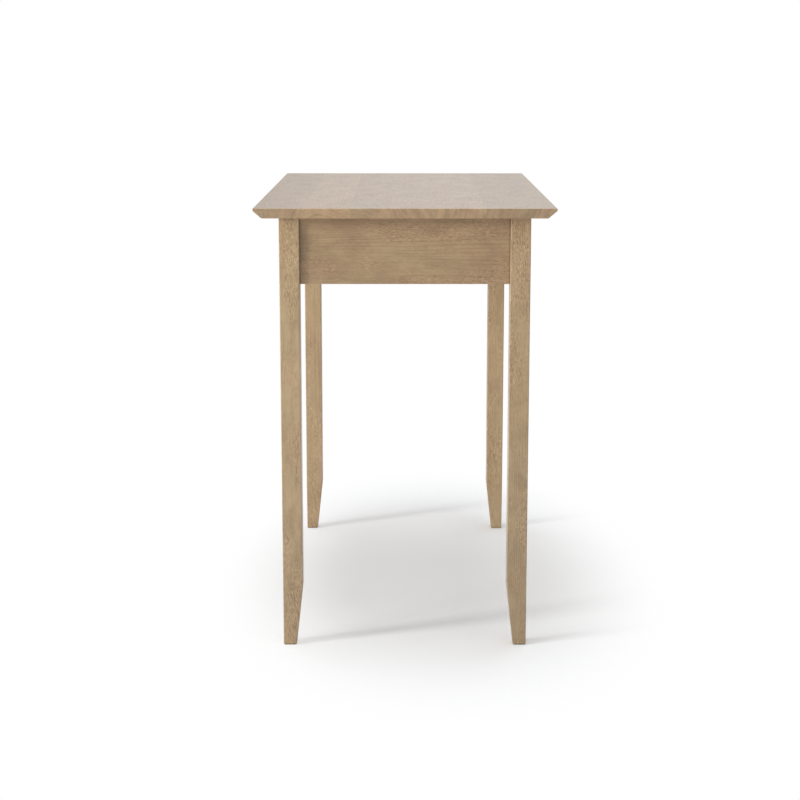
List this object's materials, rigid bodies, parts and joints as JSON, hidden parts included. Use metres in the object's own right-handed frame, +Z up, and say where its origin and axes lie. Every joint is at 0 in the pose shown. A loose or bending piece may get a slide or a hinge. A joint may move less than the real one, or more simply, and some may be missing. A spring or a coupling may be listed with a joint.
{
  "type": "writing desk",
  "caption": "Shaker writing desk with an underbevelled solid wood top, square legs tapered on their inner faces, plain aprons and one wide drawer on wooden runners.",
  "frame": {"origin": "on the floor, under the middle of the top", "axes": "+X along the desk to the right of someone sitting at it, -Y the front where the drawer pulls out, +Z up"},
  "size_m": [0.9, 0.5, 0.762],
  "materials": {
    "stained_maple": "satin clear coat over a light grey-brown stain",
    "clear_maple": "sanded, clear sealed",
    "zinc_steel": "zinc plated"
  },
  "bodies": {
    "desk": {"top_board_1": "stained_maple", "top_board_2": "stained_maple", "top_board_3": "stained_maple", "top_board_4": "stained_maple", "top_board_5": "stained_maple", "top_board_6": "stained_maple", "front_left_leg": "stained_maple", "front_right_leg": "stained_maple", "back_left_leg": "stained_maple", "back_right_leg": "stained_maple", "left_apron": "stained_maple", "right_apron": "stained_maple", "back_apron": "stained_maple", "front_top_rail": "stained_maple", "front_bottom_rail": "stained_maple", "left_runner": "clear_maple", "right_runner": "clear_maple", "left_kicker": "clear_maple", "right_kicker": "clear_maple", "left_guide": "clear_maple", "right_guide": "clear_maple", "left_drawer_stop": "clear_maple", "right_drawer_stop": "clear_maple", "top_button_1": "clear_maple", "top_button_2": "clear_maple", "top_button_3": "clear_maple", "kicker_screws": "zinc_steel", "rail_screws": "zinc_steel", "button_screws": "zinc_steel", "runner_screws": "zinc_steel"},
    "drawer": {"drawer_front": "stained_maple", "drawer_knob": "stained_maple", "drawer_left_side": "clear_maple", "drawer_right_side": "clear_maple", "drawer_back": "clear_maple", "drawer_bottom": "clear_maple", "knob_screw": "zinc_steel", "drawer_bottom_screws": "zinc_steel"}
  },
  "joints": [
    {"name": "drawer_slide", "type": "slide", "parent": "desk", "child": "drawer", "axis": [0, -1, 0], "range_m": [0, 0.27]}
  ]
}
